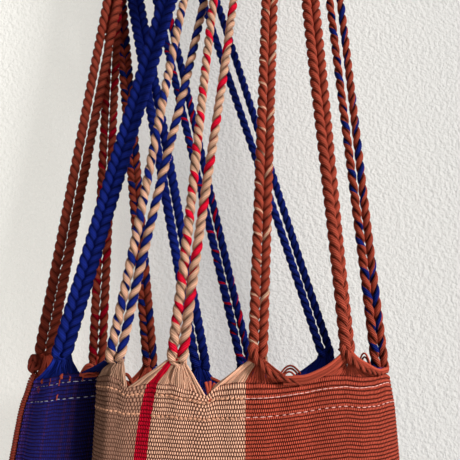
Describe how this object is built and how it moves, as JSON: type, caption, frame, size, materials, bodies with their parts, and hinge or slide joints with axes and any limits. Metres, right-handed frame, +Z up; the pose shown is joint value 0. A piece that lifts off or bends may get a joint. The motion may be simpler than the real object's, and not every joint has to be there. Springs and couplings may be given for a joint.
{
  "type": "hammock bag",
  "caption": "Soft cotton bag: a woven pouch that hangs on paired cords gathered from its own warp, joined at an arched handle",
  "frame": {"origin": "underside of the handle's arch, where a hook or a hand carries the bag", "axes": "+Z up, -Y towards someone who faces the front of the bag, +X to their right, along the flat bottom seam"},
  "size_m": [0.2667, 0.0795, 0.9196],
  "materials": {
    "rust": "matt cotton yarn",
    "blue": "matt cotton yarn",
    "tan": "matt cotton yarn"
  },
  "bodies": {
    "root": {"body_cloth": "tan", "cord_front_blue_a": "blue", "cord_front_blue_b": "blue", "cord_front_tan_blue_a": "tan", "cord_front_tan_blue_b": "tan", "cord_front_tan_red_a": "tan", "cord_front_tan_red_b": "tan", "cord_front_rust_tan_a": "rust", "cord_front_rust_tan_b": "rust", "cord_front_rust_a": "rust", "cord_front_rust_b": "rust", "cord_right_rust_blue_a": "rust", "cord_right_rust_blue_b": "rust", "cord_back_blue_a": "blue", "cord_back_blue_b": "blue", "cord_back_blue_red_a": "blue", "cord_back_blue_red_b": "blue", "cord_back_plain_blue_a": "blue", "cord_back_plain_blue_b": "blue", "cord_back_rust_blue_a": "rust", "cord_back_rust_blue_b": "rust", "cord_back_rust_red_a": "rust", "cord_back_rust_red_b": "rust", "cord_left_rust_a": "rust", "cord_left_rust_b": "rust", "front_collar": "rust", "back_collar": "rust", "handle": "rust", "side_seam": "rust", "bottom_seam": "rust", "seam_knot": "rust"}
  },
  "joints": []
}
